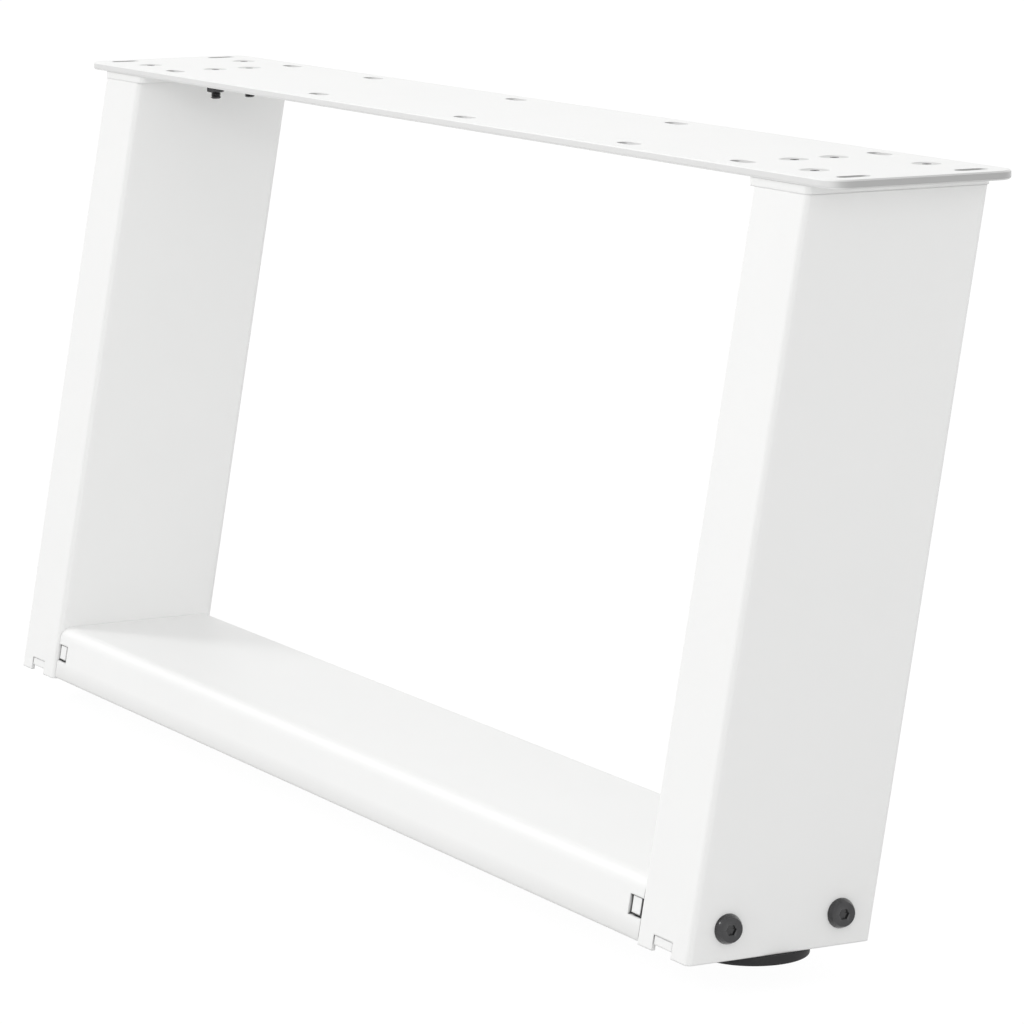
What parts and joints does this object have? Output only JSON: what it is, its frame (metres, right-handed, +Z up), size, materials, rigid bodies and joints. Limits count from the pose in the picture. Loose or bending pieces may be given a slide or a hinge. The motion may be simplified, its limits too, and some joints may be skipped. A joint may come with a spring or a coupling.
{
  "type": "u shaped table leg",
  "caption": "U shaped table leg of white steel: leaning uprights on a low crossbar, slotted top plate, levelling feet.",
  "frame": {"origin": "middle of the bottom of the bounding box, on the floor under the feet", "axes": "+X along the crossbar to the right in the picture, +Y the way the uprights lean going up, +Z up"},
  "size_m": [0.7, 0.133, 0.3],
  "materials": {
    "white_steel": "white powder coat, satin",
    "black_screw": "black oxide, satin",
    "plate_screw": "white coated head",
    "zinc_steel": "zinc plated",
    "black_plastic": "black, matt"
  },
  "bodies": {
    "frame": {"crossbar": "white_steel", "crossbar_end_left": "white_steel", "crossbar_end_right": "white_steel", "foot_plate_left": "white_steel", "foot_plate_nut_left": "zinc_steel", "foot_plate_nut_right": "zinc_steel", "foot_plate_right": "white_steel", "plate_nut_left_back": "black_screw", "plate_nut_left_front": "black_screw", "plate_nut_right_back": "black_screw", "plate_nut_right_front": "black_screw", "plate_screw_left_inner_back": "plate_screw", "plate_screw_left_inner_front": "plate_screw", "plate_screw_left_outer_back": "plate_screw", "plate_screw_left_outer_front": "plate_screw", "plate_screw_right_inner_back": "plate_screw", "plate_screw_right_inner_front": "plate_screw", "plate_screw_right_outer_back": "plate_screw", "plate_screw_right_outer_front": "plate_screw", "side_screw_left_back": "black_screw", "side_screw_left_front": "black_screw", "side_screw_right_back": "black_screw", "side_screw_right_front": "black_screw", "top_plate": "white_steel", "upright_cap_left": "white_steel", "upright_cap_right": "white_steel", "upright_left": "white_steel", "upright_right": "white_steel"},
    "foot_left": {"levelling_foot_left": "black_plastic", "levelling_stud_left": "zinc_steel"},
    "foot_right": {"levelling_foot_right": "black_plastic", "levelling_stud_right": "zinc_steel"}
  },
  "joints": [
    {"name": "levelling_left", "type": "slide", "parent": "frame", "child": "foot_left", "axis": [0, 0, -1], "range_m": [0, 0.01]},
    {"name": "levelling_right", "type": "slide", "parent": "frame", "child": "foot_right", "axis": [0, 0, -1], "range_m": [0, 0.01]}
  ]
}
